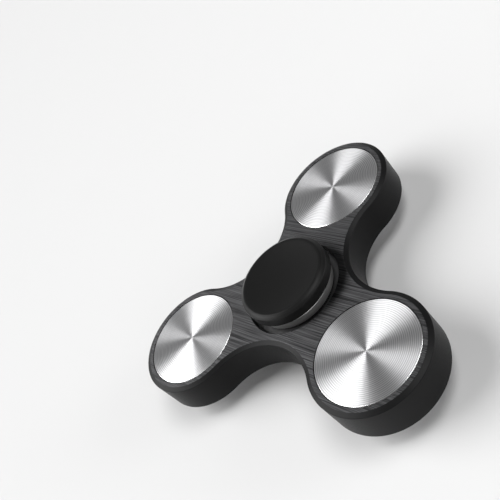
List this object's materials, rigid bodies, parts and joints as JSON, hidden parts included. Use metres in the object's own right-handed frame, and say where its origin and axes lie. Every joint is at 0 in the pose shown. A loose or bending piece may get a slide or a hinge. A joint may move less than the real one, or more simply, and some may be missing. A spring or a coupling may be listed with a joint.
{
  "type": "fidget spinner",
  "caption": "Three-lobed hand spinner: black metal body with a spun steel disc in each lobe, turning on a ball bearing between two dished finger caps that pull off.",
  "frame": {"origin": "on the spin axis, in the plane of the bottom cap's rim, which the spinner stands on", "axes": "+Z along the spin axis, from the bottom finger cap to the top one; +X through the centre of the lobe with weight_disc_1"},
  "size_m": [0.0746, 0.0816, 0.0191],
  "materials": {
    "black_anodised": "satin black anodised, brushed",
    "black_cap": "satin black anodised",
    "spun_steel": "fine concentric turning marks",
    "race_steel": "ground and polished",
    "ball_steel": "polished",
    "cage_steel": "satin",
    "ring_metal": "turned, satin"
  },
  "bodies": {
    "bottom_cap": {"bottom_cap": "black_cap"},
    "inner_race": {"bearing_inner_race": "race_steel"},
    "outer_race": {"bearing_outer_race": "race_steel"},
    "cage": {"bearing_cage": "cage_steel", "bearing_ball_1": "ball_steel", "bearing_ball_2": "ball_steel", "bearing_ball_3": "ball_steel", "bearing_ball_4": "ball_steel", "bearing_ball_5": "ball_steel", "bearing_ball_6": "ball_steel", "bearing_ball_7": "ball_steel", "bearing_ball_8": "ball_steel", "bearing_ball_9": "ball_steel", "bearing_ball_10": "ball_steel"},
    "frame": {"frame": "black_anodised", "weight_disc_1": "spun_steel", "weight_disc_2": "spun_steel", "weight_disc_3": "spun_steel"},
    "retaining_ring": {"retaining_ring": "ring_metal"},
    "top_cap": {"top_cap": "black_cap"}
  },
  "joints": [
    {"name": "bottom_cap_pull", "type": "slide", "parent": "bottom_cap", "child": "inner_race", "axis": [0, 0, 1], "range_m": [0, 0.0997]},
    {"name": "spin", "type": "hinge", "parent": "inner_race", "child": "outer_race", "pos_m": [0, 0, 0.008], "axis": [0, 0, 1], "continuous": true},
    {"name": "cage_orbit", "type": "hinge", "parent": "inner_race", "child": "cage", "pos_m": [0, 0, 0.008], "axis": [0, 0, 1], "continuous": true},
    {"name": "frame_lift_off", "type": "slide", "parent": "outer_race", "child": "frame", "axis": [0, 0, -1], "range_m": [0, 0.032]},
    {"name": "top_cap_pull", "type": "slide", "parent": "inner_race", "child": "top_cap", "axis": [0, 0, 1], "range_m": [0, 0.0381]},
    {"name": "ring_unscrew", "type": "slide", "parent": "outer_race", "child": "retaining_ring", "axis": [0, 0, 1], "range_m": [0, 0.0178]}
  ],
  "couplings": [
    {"joint": "cage_orbit", "follows": "spin", "ratio": 0.6221},
    {"joint": "frame_lift_off", "follows": "bottom_cap_pull", "ratio": 0.3209},
    {"joint": "ring_unscrew", "follows": "top_cap_pull", "ratio": 0.4671}
  ]
}
